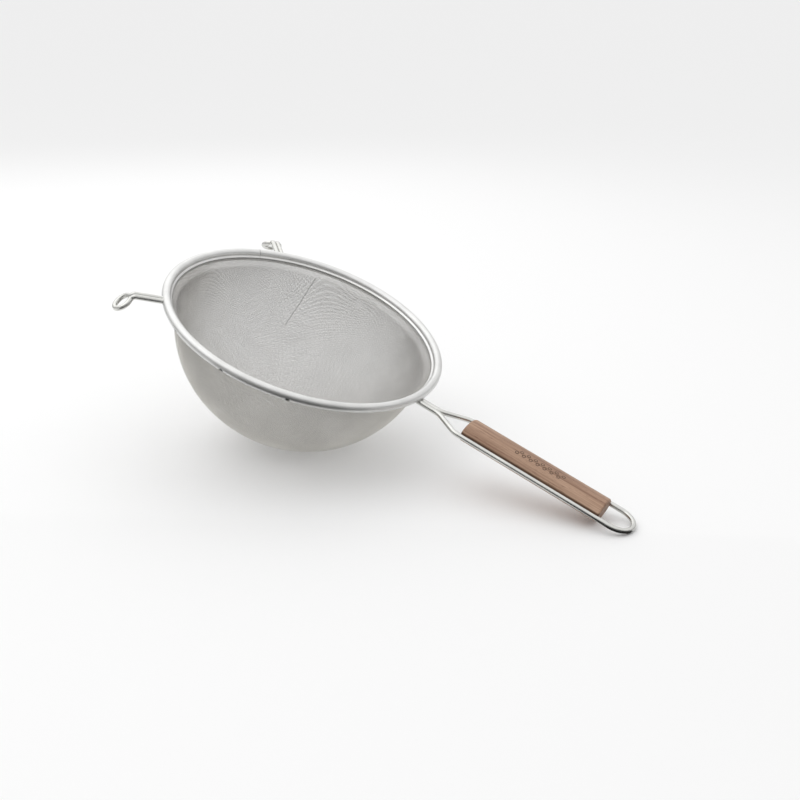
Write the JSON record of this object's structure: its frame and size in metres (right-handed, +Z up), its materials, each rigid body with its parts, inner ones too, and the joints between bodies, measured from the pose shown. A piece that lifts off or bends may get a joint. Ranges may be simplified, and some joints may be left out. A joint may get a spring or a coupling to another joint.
{
  "type": "double sieve strainer",
  "caption": "Round bowl strainer of nested woven steel meshes in a rolled steel rim, with bent-wire rest ears and a wire handle with a wooden grip and hanging loop.",
  "frame": {"origin": "centre of the bounding box's bottom, on the surface that the strainer lies on", "axes": "+Z up as the strainer lies on its bowl and the end of its hanging loop; +X level, from the bowl towards the hanging loop; the rim is tipped 19.7 degrees down towards +X"},
  "size_m": [0.3628, 0.2104, 0.1299],
  "materials": {
    "support_mesh": "woven wire, satin",
    "fine_mesh": "woven wire, satin",
    "rim_steel": "satin, fine lines round the rim",
    "hoop_steel": "plain drawn wire",
    "wire_steel": "bright drawn wire",
    "grip_wood": "oiled brown hardwood, long grain"
  },
  "bodies": {
    "root": {"outer_support_mesh": "support_mesh", "inner_fine_mesh": "fine_mesh", "rim_band": "rim_steel", "rim_hoop": "hoop_steel", "handle_wire": "wire_steel", "left_rest_ear": "wire_steel", "right_rest_ear": "wire_steel", "wood_grip": "grip_wood"}
  },
  "joints": []
}
